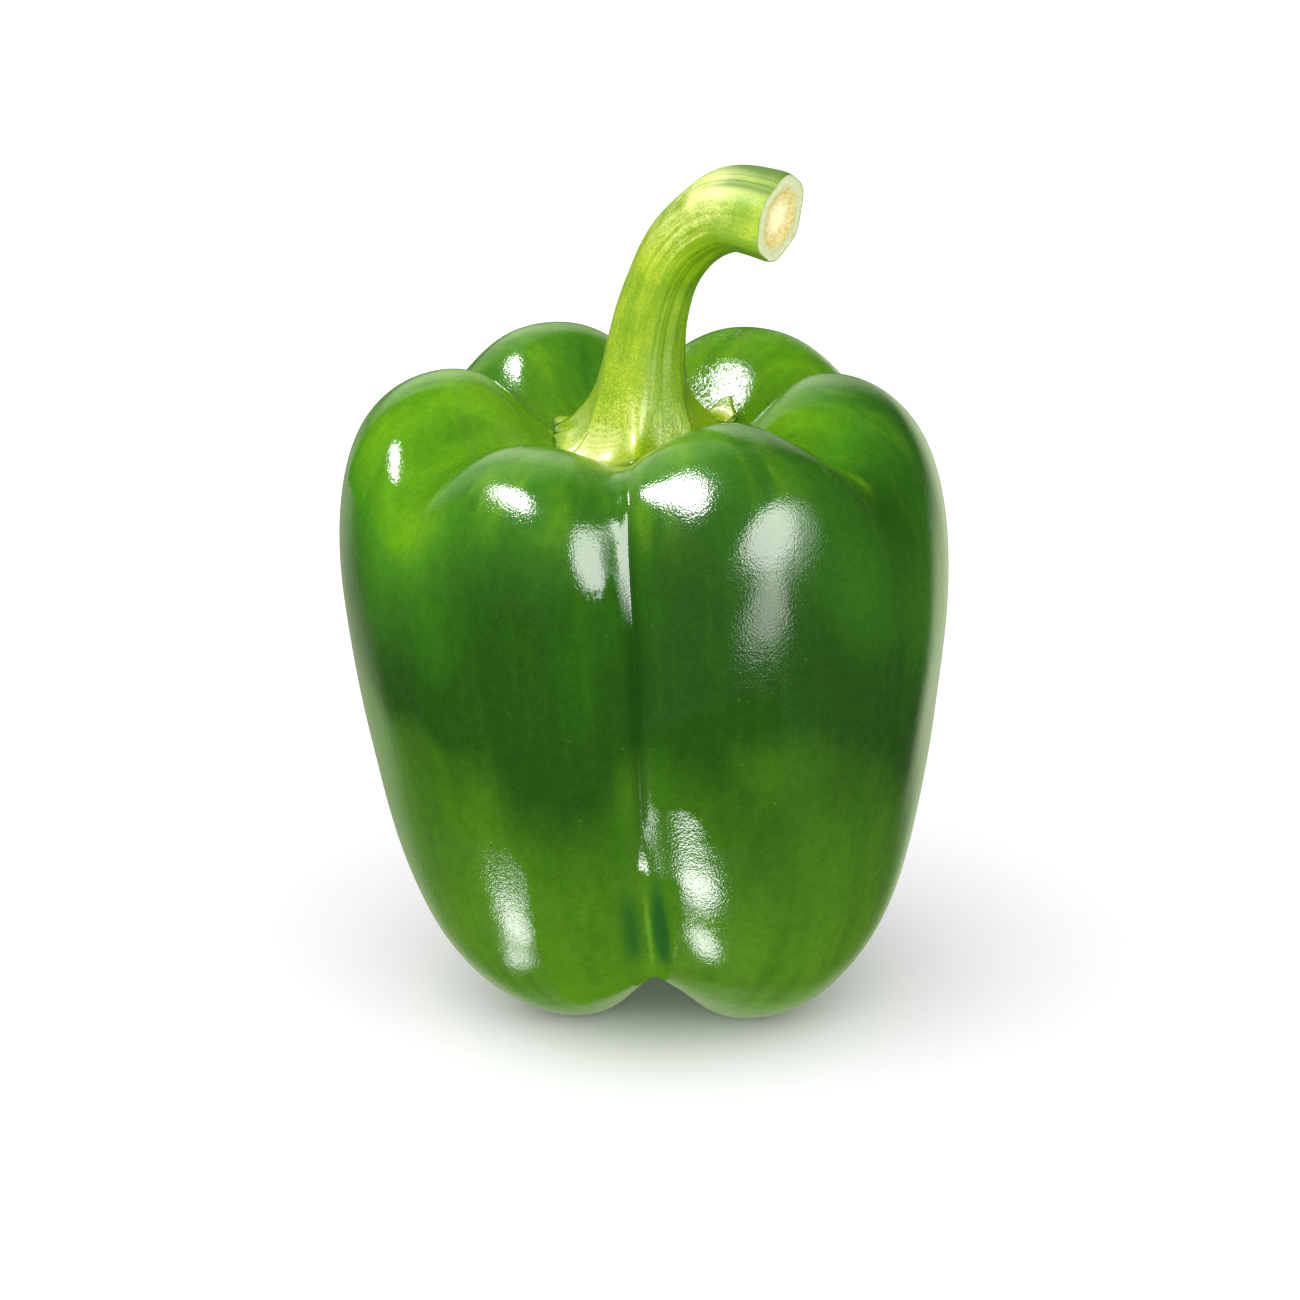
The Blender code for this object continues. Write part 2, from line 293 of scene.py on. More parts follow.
fruitShape = {
    # half sections from the top hollow over the shoulder to the blossom end: (out, up)
    "lobe": (
        (0.0000, 0.0840), (0.0080, 0.0810), (0.0175, 0.0910), (0.0235, 0.0970),
        (0.0350, 0.0955), (0.0415, 0.0880), (0.0450, 0.0720), (0.0425, 0.0510),
        (0.0395, 0.0315), (0.0340, 0.0120), (0.0256, 0.0025), (0.0125, -0.0045),
        (0.0060, 0.0030), (0.0000, 0.0080),
    ),
    "groove": (
        (0.0000, 0.0840), (0.0080, 0.0840), (0.0145, 0.0835), (0.0215, 0.0875),
        (0.0305, 0.0870), (0.0380, 0.0800), (0.0415, 0.0665), (0.0405, 0.0500),
        (0.0370, 0.0325), (0.0310, 0.0170), (0.0225, 0.0095), (0.0125, 0.0065),
        (0.0060, 0.0070), (0.0000, 0.0080),
    ),
    "fold": (
        (0.0000, 0.0840), (0.0090, 0.0795), (0.0175, 0.0875), (0.0250, 0.0905),
        (0.0350, 0.0870), (0.0410, 0.0835), (0.0445, 0.0700), (0.0430, 0.0505),
        (0.0385, 0.0310), (0.0340, 0.0120), (0.0256, 0.0025), (0.0125, -0.0045),
        (0.0060, 0.0030), (0.0000, 0.0080),
    ),
    "height": 0.095,
    "grooveAzimuths": (-118.0, -2.5, 112.0),
    "grooveSoftness": 0.03,
    "foldSoftness": 0.12,
    "wayDown": (0.0, 0.12, 0.24, 0.34, 0.46, 0.60, 0.74, 0.85, 0.93, 1.0),
    "grooveSharpness": (1.0, 1.2, 3.5, 3.0, 4.0, 2.6, 1.0, 1.1, 1.2, 1.0),
    "foldSharpness": (1.5, 2.5, 3.0, 3.5, 3.3, 2.0, 2.0, 2.0, 2.0, 2.0),
    # how steep the front groove's two sides are, at ways down
    "flankWay": (0.10, 0.22, 0.34, 0.40, 0.46, 0.60, 0.75),
    "leftFlank": (1.0, 0.65, 0.65, 0.72, 1.5, 1.8, 1.0),
    "rightFlank": (1.0, 0.50, 0.55, 1.1, 1.6, 1.5, 1.0),
    "swellingAzimuths": (-151.0, -90.0, -30.0, 32.0, 90.0, 151.0),
    "riseAzimuths": (-151, -110, -85, -62, -40, -25, -12, -3, 5, 14, 26, 45, 90, 151),
    "swellingRises": (
        -0.0004, -0.0006, -0.0014, -0.0036, -0.0060, -0.0062, -0.0056, -0.0042,
        -0.0027, -0.0012, -0.0003, -0.0002, -0.0005, -0.0024,
    ),
    "swellingBulges": (-0.0035, 0.0, -0.0010, 0.0027, -0.0006, -0.0004),
    "swellingRadius": 0.044,
    "riseShare": (0.0, 0.3, 0.8, 1.0, 0.6, 0.1, 0.0, 0.0, 0.0, 0.0),
    "bulgeShare": (0.0, 0.0, 0.5, 1.0, 1.0, 1.0, 0.6, 0.3, 0.1, 0.0),
    "frontLift": 0.0034,
    "liftWay": (0.08, 0.20, 0.32, 0.48),
    "grooveWander": 1.5,
    "wanderShare": (0.0, -1.0, -1.6, -0.6, 0.0, 0.0, 0.7, 1.0, 0.7, 0.0),
    "blossomEndOffset": (0.0029, 0.0004),
    "footShare": (0.0, 0.0, 0.0, 0.0, 0.0, 0.0, 0.3, 1.0, 1.0, 0.5),
    "footSink": 0.0004,
}

skinDetail = {
    "around": 384,
    "down": 240,
    "crowding": 0.6,  # how much closer the meridians stand at the grooves
    "creaseDepth": 0.0008,
    "creaseWidth": 0.0009,
    "creaseWay": (0.0, 0.12, 0.25, 0.55, 0.62, 0.72, 0.80, 0.95),
    "creaseShare": (0.0, 0.2, 0.5, 0.8, -0.35, -0.45, 0.4, 0.0),  # below 0 it is a thin ridge
    "pitDepth": 0.00045,
    # pits at the foot of each groove: how far beside it, half size, share of the depth
    "pits": ((-0.0024, 0.0017, 0.6), (0.0018, 0.0012, 1.0)),
    "pitDown": 0.665,
    "pitLength": 0.045,
    # soft rises (and hollows, below 0): azimuth, its half widths to the left and to the right,
    # way down, half length, outward and upward
    "rises": (
        (-2.0, 5.0, 13.0, 0.240, 0.090, 0.0004, 0.0014),
        (-2.5, 3.0, 7.0, 0.310, 0.055, 0.0008, 0.0009),
        (-70.0, 7.0, 7.0, 0.345, 0.050, 0.0006, 0.0),
        (-4.3, 2.8, 5.0, 0.362, 0.050, -0.00085, 0.0),
    ),
    # the square shoulder to the left of the front groove
    "shoulderAzimuth": (-17.0, 31.0, 13.0),
    "shoulderWay": (0.16, 0.22, 0.27, 0.31, 0.37, 0.42, 0.50),
    "shoulderShare": (0.0, 0.35, 0.85, 1.0, 0.68, 0.20, 0.0),
    "shoulderPush": (0.0042, 0.0008),
    # long flutes and round dents, and the ways down where they come and go
    "fluteDepth": 0.00025,
    "fluteSize": (0.011, 0.011, 0.060),
    "dentDepth": 0.00020,
    "dentSize": 0.017,
    "fluteWay": (0.0, 0.15, 0.35, 0.85, 0.95),
    "fluteShare": (0.0, 0.3, 1.0, 1.0, 0.0),
    "fluteUpward": 0.6,
    # the skin laid out for its patterns
    "patternRadius": 0.04,
    "patternLength": 0.19,
}


def skinSection(turn, down):
    # radius and height of each point, its azimuth, and its place beside the nearest groove
    s = fruitShape
    lobe = np.minimum(turn.astype(int), 2)
    across = turn - lobe
    groove = nearness(np.sin(math.pi * across), s["grooveSoftness"])
    leftward = (lobe == 0) & (across > 0.5)
    rightward = (lobe == 1) & (across <= 0.5)
    steep = np.where(leftward, curved(down, s["flankWay"], s["leftFlank"]), 1.0)
    steep = np.where(rightward, curved(down, s["flankWay"], s["rightFlank"]), steep)
    groove **= eased(down, s["wayDown"], s["grooveSharpness"]) * steep
    fold = nearness(np.cos(math.pi * across), s["foldSoftness"])
    fold **= eased(down, s["wayDown"], s["foldSharpness"])
    shares = (1 - groove - fold, groove, fold)
    sections = [splinePoints(acrossAxis(s[key]), down) for key in ("lobe", "groove", "fold")]
    radius, height = sum(w[:, None] * p for w, p in zip(shares, sections)).T

    starts = np.array(s["grooveAzimuths"])
    widths = (np.roll(starts, -1) - starts) % 360
    azimuth = starts[lobe] + widths[lobe] * across
    rise = curvedRound(azimuth, s["riseAzimuths"], s["swellingRises"])
    height = height + eased(down, s["wayDown"], s["riseShare"]) * rise
    bulge = easedRound(azimuth, s["swellingAzimuths"], s["swellingBulges"])
    bulge = eased(down, s["wayDown"], s["bulgeShare"]) * bulge / s["swellingRadius"]
    radius = radius * (1 + bulge)
    aside = np.radians(np.minimum(across, 1 - across) * widths[lobe]) * radius
    beside = np.where(across < 0.5, aside, -aside)  # to the right of it, or left below 0
    return radius, height, azimuth, groove, beside


def addCrease(radius, down, beside):
    # the fine crease in the bottom of each groove, and the pits at its foot
    d = skinDetail
    crease = np.exp(-np.abs(beside) / d["creaseWidth"]) * d["creaseDepth"]
    radius = radius - crease * eased(down, d["creaseWay"], d["creaseShare"])
    pit = sum(bump(beside, middle, width) * share for middle, width, share in d["pits"])
    pit = pit * bump(down, d["pitDown"], d["pitLength"])
    return radius - pit * d["pitDepth"], pit


def lopsided(azimuth, middle, left, right):
    # a soft swelling with half widths of its own to the left and to the right
    return bump(azimuth, middle, np.where(azimuth < middle, left, right))


def addRises(radius, height, azimuth, down):
    d = skinDetail
    for middle, left, right, middleDown, halfLength, outward, upward in d["rises"]:
        swell = lopsided(azimuth, middle, left, right) * bump(down, middleDown, halfLength)
        radius = radius + swell * outward
        height = height + swell * upward
    swell = lopsided(azimuth, *d["shoulderAzimuth"])
    swell = swell * curved(down, d["shoulderWay"], d["shoulderShare"])
    outward, upward = d["shoulderPush"]
    return radius + swell * outward, height + swell * upward


def skinPoints(turn, down):
    # points of the skin, the angle of each, its place beside a groove, and the pits
    s = fruitShape
    radius, height, azimuth, groove, beside = skinSection(turn, down)
    radius, pit = addCrease(radius, down, beside)
    radius, height = addRises(radius, height, azimuth, down)
    front = np.maximum(0, np.cos(np.radians(azimuth)))
    height = height + s["frontLift"] * groove * front * eased(down, s["liftWay"], (0, 1, 1, 0))
    wander = s["grooveWander"] * front * eased(down, s["wayDown"], s["wanderShare"])
    angle = np.radians(azimuth + wander)
    belowTop = 1 - height / s["height"]
    rightward, backward = s["blossomEndOffset"]
    points = np.stack([
        radius * np.sin(angle) + rightward * belowTop,
        -radius * np.cos(angle) + backward * belowTop,
        height,
    ], axis=1)
    return points, angle, beside, pit


def nearness(wave, softness):
    # 1 where a wave crosses zero, rounded off there, and 0 where it is 1 or -1
    top = math.hypot(1, softness) - softness
    return np.maximum(0, 1 - (np.hypot(wave, softness) - softness) / top)


def levelFeet(points, turn, down):
    # each lobe's foot comes down to the ground, and is pressed a little flat
    s = fruitShape
    lobe = np.minimum(turn.astype(int), 2)
    lows = [points[lobe == i, 2].min() for i in range(3)]
    turned = (turn - 0.5) % 3 + 0.5
    low = eased(turned, (0.5, 1.5, 2.5, 3.5), (*lows, lows[0]))
    share = eased(down, s["wayDown"], s["footShare"])
    points[:, 2] = np.maximum(points[:, 2] - (low + s["footSink"]) * share, 0)


def growSkin(points, down):
    # low flutes down the sides and shallow dents, which break up the reflections
    d = skinDetail
    centre = np.array([0, 0, fruitShape["height"] / 2])
    outward = (points - centre) * (1, 1, d["fluteUpward"])
    outward /= np.linalg.norm(outward, axis=1)[:, None]
    flutes = roughness(points / np.array(d["fluteSize"]), 1, 1) * d["fluteDepth"]
    dents = roughness(points, d["dentSize"], 2) * d["dentDepth"]
    share = eased(down, d["fluteWay"], d["fluteShare"])
    return points + outward * ((flutes + dents) * share)[:, None]


def markSkin(mesh, points, down, angle, beside, pit):
    # what the material reads at each point of the skin
    azimuth = np.degrees(np.arctan2(points[:, 0], -points[:, 1]))
    shifted = sum(
        bump(azimuth, middle, width) * bump(down, middleDown, length) * shift
        for middle, middleDown, width, length, shift in skinLooks["shifts"]
    )
    dull = sum(
        window(azimuth, left, right, soft) * window(down, high, low, softDown) * share
        for left, right, high, low, soft, softDown, share in skinLooks["dullPlaces"]
    )
    addValue(mesh, "wayDown", down)
    addValue(mesh, "besideGroove", np.abs(beside) * 1000)  # in millimetres
    addValue(mesh, "inPit", pit)
    addValue(mesh, "bandPlace", down + shifted)
    addValue(mesh, "gloss", np.clip(1 - dull, 0, 1))
    radius = skinDetail["patternRadius"]
    addValue(mesh, "alongSkin", np.stack([
        radius * np.sin(angle), -radius * np.cos(angle), down * skinDetail["patternLength"],
    ], axis=1))


def makeFruit(material):
    d = skinDetail
    mesh, side, ring = ballMesh("pepperFruit", d["around"], d["down"])
    even = side * 3 / d["around"]
    turn = even - d["crowding"] * np.sin(math.tau * even) / math.tau
    turn = np.clip(turn, 0, 3 - 1e-9)
    down = ring / d["down"]
    points, angle, beside, pit = skinPoints(turn, down)
    points = growSkin(points, down)
    levelFeet(points, turn, down)
    middle = (points.min(0) + points.max(0)) / 2
    shift = (fruitLow + fruitHigh) / 2 - middle
    points += np.array([shift[0], shift[1], fruitLow[2]])
    placePoints(mesh, points)
    markSkin(mesh, points, down, angle, beside, pit)
    fruit = addPiece("pepperFruit", mesh, material)
    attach(fruit, "root")
    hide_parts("fruit")
    print("fruit", len(mesh.polygons), "faces")
    return fruit, shift


skinLooks = {
    # share of the way down, colour
    "bands": (
        (0.10, (0.160, 0.370, 0.009)), (0.20, (0.115, 0.310, 0.009)),
        (0.29, (0.055, 0.215, 0.009)), (0.38, (0.030, 0.125, 0.008)),
        (0.46, (0.017, 0.072, 0.006)), (0.54, (0.017, 0.068, 0.006)),
        (0.60, (0.048, 0.148, 0.008)), (0.68, (0.080, 0.215, 0.010)),
        # these two paler stops at the foot are partly the skin's own lighter green and partly
        # painted light, lifting the shade near the ground
        (0.78, (0.120, 0.310, 0.014)), (0.87, (0.170, 0.410, 0.016)),
    ),
    # where the bands shift: azimuth, way down, their half sizes, and how far
    "shifts": (
        (-74, 0.36, 18, 0.080, -0.150), (-72, 0.54, 22, 0.050, 0.070),
        (-53, 0.39, 11, 0.050, -0.150), (-44, 0.48, 12, 0.050, -0.060),
        (-36, 0.37, 8, 0.050, -0.045), (-64, 0.47, 9, 0.050, -0.080),
        (-20, 0.42, 14, 0.060, 0.025), (-14, 0.30, 12, 0.060, 0.050),
        (-20, 0.57, 12, 0.030, -0.020), (-1, 0.54, 6, 0.045, 0.060),
        (12, 0.37, 14, 0.060, 0.050), (34, 0.28, 14, 0.070, 0.110),
        (28, 0.54, 10, 0.040, 0.030), (45, 0.46, 12, 0.050, -0.055),
        (56, 0.36, 12, 0.060, 0.080), (53, 0.60, 9, 0.045, 0.010),
        (64, 0.20, 5, 0.080, -0.050), (68, 0.50, 14, 0.070, -0.100),
        (82, 0.30, 13, 0.110, 0.080), (-150, 0.15, 22, 0.080, 0.110),
        # on the next line, the shift at -88 is a painted sheen, paler along the left lobe's top
        # edge
        (152, 0.24, 20, 0.080, -0.030), (-88, 0.23, 22, 0.050, -0.070),
    ),
    # where the wax is dull, or shines again (below 0): azimuths and ways down from where to
    # where, how softly both end, and how much
    "dullPlaces": (
        (-28.0, -3.0, 0.51, 0.77, 5.0, 0.030, 1.0),
        (-18.0, -6.5, 0.422, 0.54, 2.2, 0.034, 1.0),
        (-6.5, -1.5, 0.420, 0.55, 1.0, 0.035, 1.0),
        (-8.0, -5.6, 0.34, 0.42, 1.0, 0.020, 0.5),
        (-18.0, -5.0, 0.395, 0.43, 2.0, 0.015, 0.4),
        (-50.0, -20.0, 0.44, 0.600, 4.0, 0.018, 1.0),
        (-86.0, -53.0, 0.25, 0.41, 2.0, 0.012, 1.0),
        (-75.5, -67.5, 0.322, 0.352, 2.2, 0.012, -0.8),
        (51.0, 68.0, 0.18, 0.42, 4.5, 0.040, 1.0),
        (-3.0, 8.0, 0.612, 0.78, 1.5, 0.010, 1.0),
        (1.0, 24.0, 0.50, 0.564, 2.0, 0.010, 1.0),
        (11.0, 26.0, 0.50, 0.590, 4.0, 0.020, 1.0),
        (8.0, 24.0, 0.634, 0.650, 3.0, 0.008, 0.55),
        (105.0, 168.0, 0.08, 0.30, 8.0, 0.040, 0.62),
        (126.0, 146.0, 0.14, 0.20, 8.0, 0.030, -0.18),
    ),
    "streak": (0.110, 0.270, 0.006),
    "yellow": (0.180, 0.390, 0.006),
    "shade": (0.022, 0.110, 0.005),
    # painted shade in the pits at the foot of each groove
    "pit": (0.010, 0.078, 0.014),
    # painted shade down the crease of each groove
    "creaseShade": (0.006, 0.040, 0.003),
    "ridge": (0.160, 0.350, 0.030),
    "blossomScar": (0.110, 0.090, 0.045),
    "mottleTint": (0.66, 0.70, 0.75),
    "fineTint": (0.66, 0.72, 0.75),
    # how strongly each of them shows
    "streakShare": 0.05,
    "yellowShare": 0.50,
    "shadeShare": 0.35,
    "pitShadeShare": 0.85,
    "creaseShadeShare": 0.45,
    "ridgeShare": 0.40,
    "mottleShare": 0.45,
    "speckShare": 0.30,
    # how fine the patterns are: a greater number is finer
    "cloudScale": 60.0,
    "broadScale": 110.0,
    "marbleScale": 190.0,
    "streakScale": 420.0,
    "mottleScale": 620.0,
    "rippleScale": 900.0,
    "speckScale": 1500.0,
    "fineScale": 1900.0,
    "peelScale": 3000.0,
    # ways down where a pattern starts, is full, stays full and ends
    "streakWay": (0.24, 0.34, 0.50, 0.60),
    "creaseShadeWay": (0.31, 0.40, 0.56, 0.62),
    "ridgeWay": (0.62, 0.65, 0.70, 0.74),
    "scarWay": (0.985, 0.992),
    "reliefDepth": 0.00004,
    "roughness": 0.13,
    "dullRoughness": 0.7,
    "ior": 1.42,
}


def bandedColour(wire, down, along, spot):
    # green bands from the shoulder to the foot, with clouded and streaked edges
    looks = skinLooks
    cloudy = wire.noise(spot.stretched((1, 1, 0.6)), looks["cloudScale"], 3.0, 0.55, 0.3) - 0.5
    streaky = wire.noise(along.stretched((1, 1, 0.08)), looks["streakScale"], 3.0, 0.6) - 0.5
    broad = wire.noise(along.stretched((1, 1, 0.2)), looks["broadScale"]) - 0.5
    place = wire.value("bandPlace") + cloudy * 0.13 + streaky * 0.015 + broad * 0.05
    colour = wire.make("ShaderNodeValToRGB", {"stops": looks["bands"]}, {"Fac": place})
    streaks = (streaky + broad * 0.3).within(0.0, 0.22) * down.between(*looks["streakWay"])
    return wire.blended(streaks * looks["streakShare"], colour, looks["streak"])


def marbledColour(wire, colour, down, along):
    # long patches, yellower by the shoulder and darker anywhere
    looks = skinLooks
    marble = wire.noise(along.stretched((1, 1, 0.25)), looks["marbleScale"], 2.0, 0.5, 0.3)
    yellow = marble.within(0.46, 0.78) * down.within(0.42, 0.30)
    colour = wire.blended(yellow * looks["yellowShare"], colour, looks["yellow"])
    shade = marble.within(0.50, 0.25)
    return wire.blended(shade * looks["shadeShare"], colour, looks["shade"])


def speckledColour(wire, colour, spot, mottle, fine):
    # darker mottling of two sizes, and pale specks
    looks = skinLooks
    mottled = mottle.within(-0.22, 0.22) * looks["mottleShare"]
    colour = wire.blended(mottled, colour, looks["mottleTint"], "MULTIPLY")
    mottled = fine.within(-0.20, 0.20) * looks["mottleShare"]
    colour = wire.blended(mottled, colour, looks["fineTint"], "MULTIPLY")
    specks = wire.noise(spot, looks["speckScale"], 1.0).within(0.74, 0.80)
    return wire.blended(specks * looks["speckShare"], colour, looks["streak"])


def grooveColour(wire, colour, down, mottle):
    # painted shade in the pits and down the crease of each groove, the pale ridge at its foot,
    # and the scar below
    looks = skinLooks
    # painted shade in the pits at the foot of each groove
    pit = wire.value("inPit").within(0.02, 0.75)
    colour = wire.blended(pit * looks["pitShadeShare"], colour, looks["pit"])
    beside = wire.value("besideGroove")
    # painted shade down the crease of each groove
    creaseShade = (beside + mottle * 1.5).within(1.9, 0.0) * down.between(*looks["creaseShadeWay"])
    colour = wire.blended(creaseShade * looks["creaseShadeShare"], colour, looks["creaseShade"])
    ridge = (beside + mottle * 0.8).within(0.55, 0.1) * down.between(*looks["ridgeWay"])
    colour = wire.blended(ridge * looks["ridgeShare"], colour, looks["ridge"])
    return wire.blended(down.within(*looks["scarWay"]), colour, looks["blossomScar"])


def waxySkin():
    material, wire, shader = newMaterial("waxyGreenSkin")
    looks = skinLooks
    down = wire.value("wayDown")
    along = wire.place("alongSkin")
    spot = wire.make("ShaderNodeTexCoord", output="Object")
    mottle = wire.noise(spot, looks["mottleScale"], 3.0, 0.6) - 0.5
    fine = wire.noise(spot, looks["fineScale"], 2.0, 0.7) - 0.5
    colour = bandedColour(wire, down, along, spot)
    colour = marbledColour(wire, colour, down, along)
    colour = speckledColour(wire, colour, spot, mottle, fine)
    colour = grooveColour(wire, colour, down, mottle)

    peel = wire.noise(spot, looks["peelScale"], 1.0, 0.6)
    ripples = wire.noise(along.stretched((0.6, 0.6, 1.0)), looks["rippleScale"])
    relief = wire.make("ShaderNodeBump", inputs={
        "Height": peel * 0.8 + ripples * 0.6,
        "Strength": 1.0,
        "Distance": looks["reliefDepth"],
    })
    finishMaterial(wire, shader, {
        "Roughness": looks["roughness"],
        "IOR": looks["ior"],
    }, {"Base Color": colour, "Normal": relief})

    # where the wax is dull, a shader without any gloss takes over, with a grainy edge
    dull = wire.make("ShaderNodeBsdfPrincipled", inputs={
        "Base Color": colour,
        "Normal": relief,
        "Roughness": looks["dullRoughness"],
        "Specular IOR Level": 0.0,
    }, output="BSDF")
    gloss = (wire.value("gloss") + fine * 0.9).within(0.30, 0.70)
    glossy = Wire(wire.tree, shader.outputs["BSDF"])
    both = wire.make("ShaderNodeMixShader", inputs={0: gloss, 1: dull, 2: glossy})
    output = wire.tree.nodes["Material Output"]
    wire.tree.links.new(both.socket, output.inputs["Surface"])
    return material


stemShape = {
    "azimuth": 59.0,
    "foot": (-0.0007, 0.0000),
    "line": (
        (0.0000, 0.0800), (0.0005, 0.0915), (0.0020, 0.1035), (0.0055, 0.1135),
        (0.0100, 0.1185), (0.0160, 0.1225), (0.0235, 0.1215),
    ),
    "shares": (0.20, 0.27, 0.34, 0.42, 0.50, 0.58, 0.66, 0.74, 0.84, 0.96, 0.985, 1.0),
    "radii": (
        0.0064, 0.0057, 0.0052, 0.0049, 0.0049, 0.0049, 0.0051, 0.0055, 0.0061, 0.0064,
        0.0064, 0.0062,
    ),
    "sides": 216,
    "stemRings": 190,
    "trumpetRings": 50,
    "undersideRings": 12,
    "cutRings": 26,
    "ridges": 6,
    "ridgeHeight": 0.035,
    # long fibres: how finely they lie round the stem, where their noise is cut, and a share
    "fibreNoise": ((6.6, 1.7, 1.0), (14.4, 5.1, 0.6)),
    "fibreHeight": 0.00016,
    "fibreWay": (0.2, 0.3, 0.65, 0.90),
    "fibreShare": (0.3, 1.0, 0.8, 0.25),
    # lumps: how many round the stem and along it
    "lumpReach": 1.4,
    "lumpsAlong": 7,
    "lumpHeight": 0.00022,
    # the cut end's hollow, from its rim to its middle, and its rough grain
    "cutHollow": 0.0007,
    "hollowWay": (0.0, 0.08, 0.3, 0.55, 1.0),
    "hollowShare": (0.0, 0.25, 0.1, 0.8, 1.0),
    "cutGrain": 1800,
    "cutGrainHeight": 0.00010,
    # the rings that are smoothed where the flare meets the stem: below it, above it, how often
    "joinBelow": 14,
    "joinAbove": 18,
    "joinPasses": 60,
}

calyxShape = {
    "radius": 0.0117,
    "firstTooth": -2.5,  # its azimuth
    "toothLengths": (0.0047, 0.0021, 0.0047, 0.0021, 0.0022, 0.0018),
    "toothLifts": (0.0, 0.0, 0.0032, 0.0, 0.0002, 0.0),
    "toothSharpness": 2.6,
    "rimWaves": ((17, 0.03, 0), (29, 0.02, 1)),  # count round, height, where they start
    "waveFade": 12,  # how soon they die out from the rim to the stem
    "thickness": 0.0009,
    "edgeWay": (0.0, 0.02, 0.08),
    "edgeThickness": (0.45, 0.8, 1.0),
    # how the flare leaves the skin and turns up into the stem
    "inward": (0.0, 0.10, 0.88, 1.0),
    "upward": (0.0, 0.02, 0.50, 1.0),
    "gap": 0.00015,
    "hollow": 0.0012,
    "undersideRadius": 0.9,
}


def toothPhase():
    return math.radians(calyxShape["firstTooth"] - stemShape["azimuth"])


def ridged(angle):
    # the long soft ridges of the stem, one above each tooth
    wave = np.cos(stemShape["ridges"] * (angle - toothPhase()))
    return 1 + stemShape["ridgeHeight"] * wave


def toothAt(angle):
    # how far out on its tooth each angle is, with that tooth's length and lift
    count = stemShape["ridges"]
    turns = ((angle - toothPhase()) / math.tau * count) % count
    nearest = np.round(turns).astype(int) % count
    wave = 0.5 + 0.5 * np.cos(math.tau * turns)
    tooth = wave ** calyxShape["toothSharpness"]
    lengths = np.array(calyxShape["toothLengths"])[nearest]
    lifts = np.array(calyxShape["toothLifts"])[nearest]
    return tooth, lengths, lifts


def stemFrame(share):
    # centre, in-plane normal and direction of the stem at shares of its centre line
    s = stemShape
    cage = pastEnds(s["line"])
    here = splinePoints(cage, share)
    step = 0.001
    slope = splinePoints(cage, share + step) - splinePoints(cage, share - step)
    slope /= np.linalg.norm(slope, axis=-1)[..., None]
    angle = math.radians(s["azimuth"])
    outward = np.array([math.sin(angle), -math.cos(angle), 0])
    upward = np.array([0, 0, 1.0])
    centre = np.array([*s["foot"], 0]) + here[..., :1] * outward + here[..., 1:] * upward
    normal = slope[..., 1:] * outward - slope[..., :1] * upward
    along = slope[..., :1] * outward + slope[..., 1:] * upward
    return centre, normal, along


def onSkin(skin, x, y):
    place, normal, _, _ = skin.ray_cast(Vector((x, y, 1)), Vector((0, 0, -1)))
    return np.array(place), np.array(normal)


def drape(skin, shift, centre, angle, radius):
    # the skin below each point of a calyx ring, and its normal
    azimuth = math.radians(stemShape["azimuth"]) + angle
    xs = centre[0] + radius * np.sin(azimuth) + shift[0]
    ys = centre[1] - radius * np.cos(azimuth) + shift[1]
    hits = [onSkin(skin, x, y) for x, y in zip(xs, ys)]
    places = np.array([hit[0] for hit in hits]) - np.array([shift[0], shift[1], 0])
    return places, np.array([hit[1] for hit in hits])


def calyxUnderside(skin, shift, angle, teeth, waves):
    # rings from the middle of the underside out to the teeth
    s, c = stemShape, calyxShape
    tooth, edge, lifts = teeth
    rings = []
    for i in range(s["undersideRings"] + 1):
        reach = i / s["undersideRings"]
        inner = c["radius"] * c["undersideRadius"]
        radius = reach * mixed(inner, edge * (1 + waves), reach**3)
        places, normals = drape(skin, shift, s["foot"], angle, radius)
        places += normals * (c["gap"] + c["hollow"] * (1 - reach))
        places[:, 2] += lifts * tooth * reach**6
        rings.append(places)
    return rings


def calyxFlare(skin, shift, angle, teeth, waves, foot):
    # rings from the teeth in over the skin and up to the foot of the stem
    s, c = stemShape, calyxShape
    tooth, edge, lifts = teeth
    outer = np.array([*s["foot"], 0])
    footRadius = np.hypot(*(foot - foot.mean(0))[:, :2].T)
    rings = []
    for i in range(s["trumpetRings"]):
        inward = bezier(i / s["trumpetRings"], c["inward"])
        upward = bezier(i / s["trumpetRings"], c["upward"])
        middle = mixed(outer, foot.mean(0), inward)
        wavy = edge * (1 + waves * (1 - inward) ** c["waveFade"])
        radius = mixed(wavy, footRadius, inward)
        places, normals = drape(skin, shift, middle, angle, radius)
        thickness = c["thickness"] * eased(inward, c["edgeWay"], c["edgeThickness"])
        places += normals * (c["gap"] + thickness)
        places[:, 2] = mixed(places[:, 2], foot[:, 2], upward)
        out = np.clip((radius - c["radius"]) / (edge - c["radius"] + 1e-9), 0, 1)
        places[:, 2] += lifts * tooth * out**2 * (1 - inward)
        rings.append(places)
    return rings


def calyxRings(skin, shift, angle, foot):
    c = calyxShape
    tooth, lengths, lifts = toothAt(angle)
    teeth = (tooth, c["radius"] + lengths * tooth, lifts)
    waves = sum(
        height * np.sin(count * angle + start) for count, height, start in c["rimWaves"]
    )
    under = calyxUnderside(skin, shift, angle, teeth, waves)
    return under + calyxFlare(skin, shift, angle, teeth, waves, foot)


def noiseRound(angle, reach, level):
    # smooth noise round a circle, finer where the circle reaches farther
    return np.array([
        noise.noise(Vector((reach * math.cos(a), reach * math.sin(a), level))) for a in angle
    ])


